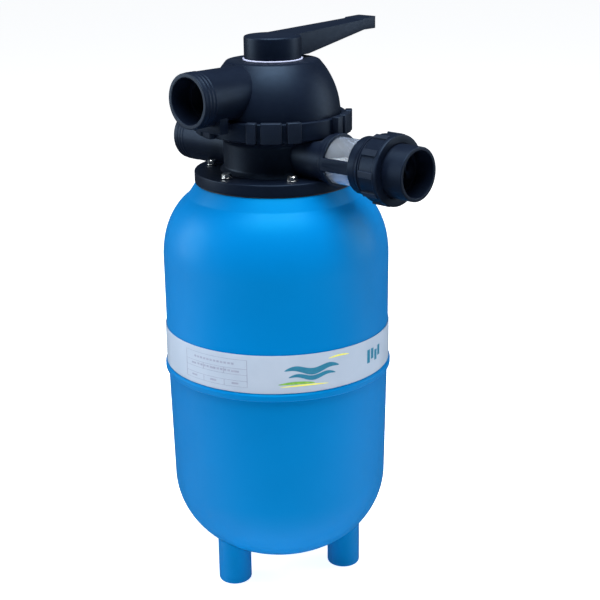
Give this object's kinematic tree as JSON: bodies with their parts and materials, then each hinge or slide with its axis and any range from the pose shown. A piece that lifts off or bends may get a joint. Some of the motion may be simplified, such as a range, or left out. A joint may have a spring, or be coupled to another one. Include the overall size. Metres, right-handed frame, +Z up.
{
  "type": "sand filter tank",
  "caption": "Upright round pool sand filter tank on legs with a top-mounted selector valve: side and pump ports, clear sight glass, pipe union, clamp ring and a press-and-turn lever.",
  "frame": {"origin": "on the floor under the middle of the whole part's bounding box; the tank's own axis stands 37.4 mm towards -X and 14.75 mm towards -Y of it", "axes": "+Z is up along the tank's axis; +Y is the way the lever points; -Y is the way the pump port points; -X is the return port and +X the sight glass and union"},
  "size_m": [0.3748, 0.3154, 0.6984],
  "materials": {
    "tank_blue": "gloss",
    "label_grey": "satin",
    "valve_black": "satin",
    "pipe_white": "satin",
    "sand": "matte",
    "steel": "satin",
    "seal_rubber": "matte",
    "clear_plastic": "gloss",
    "pale_plastic": "satin"
  },
  "bodies": {
    "tank": {"tank_upper_shell": "tank_blue", "tank_lower_shell": "tank_blue", "label_band": "label_grey", "leg_1": "valve_black", "leg_2": "valve_black", "leg_3": "valve_black", "sand_bed": "sand", "standpipe": "pipe_white", "lateral_hub": "pipe_white", "lateral_1": "pipe_white", "lateral_2": "pipe_white", "lateral_3": "pipe_white", "lateral_4": "pipe_white", "lateral_5": "pipe_white", "lateral_6": "pipe_white", "top_diffuser": "pipe_white", "valve_lower_body": "valve_black", "neck_gasket": "seal_rubber", "flange_bolt_1": "steel", "flange_bolt_2": "steel", "flange_bolt_3": "steel", "flange_bolt_4": "steel", "flange_bolt_5": "steel", "flange_bolt_6": "steel", "flange_washer_1": "steel", "flange_washer_2": "steel", "flange_washer_3": "steel", "flange_washer_4": "steel", "flange_washer_5": "steel", "flange_washer_6": "steel", "spider_gasket": "seal_rubber", "cover_oring": "seal_rubber", "sight_glass_tube": "clear_plastic", "sight_glass_oring_inner": "seal_rubber", "sight_glass_oring_outer": "seal_rubber", "sight_glass_cage": "valve_black", "union_oring": "seal_rubber"},
    "cover": {"valve_upper_body": "valve_black", "stem_oring": "seal_rubber"},
    "ring": {"ring_nut": "valve_black"},
    "selector": {"handle_washer": "pale_plastic", "spring_washer": "steel", "rotor_spring": "steel"},
    "rotor_and_stem": {"rotor": "valve_black", "stem": "valve_black", "handle_pin": "steel"},
    "lever": {"handle": "valve_black"},
    "tail": {"union_tail": "valve_black"},
    "nut": {"union_nut": "valve_black"}
  },
  "joints": [
    {"name": "cover_lift", "type": "slide", "parent": "tank", "child": "cover", "axis": [0, 0, 1], "range_m": [0, 0.0143]},
    {"name": "ring_nut_turn", "type": "hinge", "parent": "cover", "child": "ring", "pos_m": [-0.0374, -0.01475, 0.587], "axis": [0, 0, 1], "range_deg": [0, 1710]},
    {"name": "handle_turn", "type": "hinge", "parent": "cover", "child": "selector", "pos_m": [-0.0374, -0.01475, 0.6616], "axis": [0, 0, 1], "continuous": true},
    {"name": "rotor_lift", "type": "slide", "parent": "selector", "child": "rotor_and_stem", "axis": [0, 0, 1], "range_m": [0, 0.0061], "deforming": ["rotor_spring"]},
    {"name": "handle_press", "type": "hinge", "parent": "rotor_and_stem", "child": "lever", "pos_m": [-0.0374, -0.01475, 0.6759], "axis": [-1, 0, 0], "range_deg": [0, 10], "stiffness_Nm_per_rad": 12, "springref_deg": -20.05},
    {"name": "union_travel", "type": "slide", "parent": "tank", "child": "tail", "axis": [1, 0, 0], "range_m": [0, 0.0136]},
    {"name": "union_nut_turn", "type": "hinge", "parent": "tail", "child": "nut", "pos_m": [0.1466, -0.01475, 0.5535], "axis": [1, 0, 0], "range_deg": [0, 1620]}
  ],
  "couplings": [
    {"joint": "cover_lift", "follows": "ring_nut_turn", "m_per_rad": 0.00047746},
    {"joint": "rotor_lift", "follows": "handle_press", "m_per_rad": 0.0344},
    {"joint": "union_travel", "follows": "union_nut_turn", "m_per_rad": 0.00047746}
  ]
}
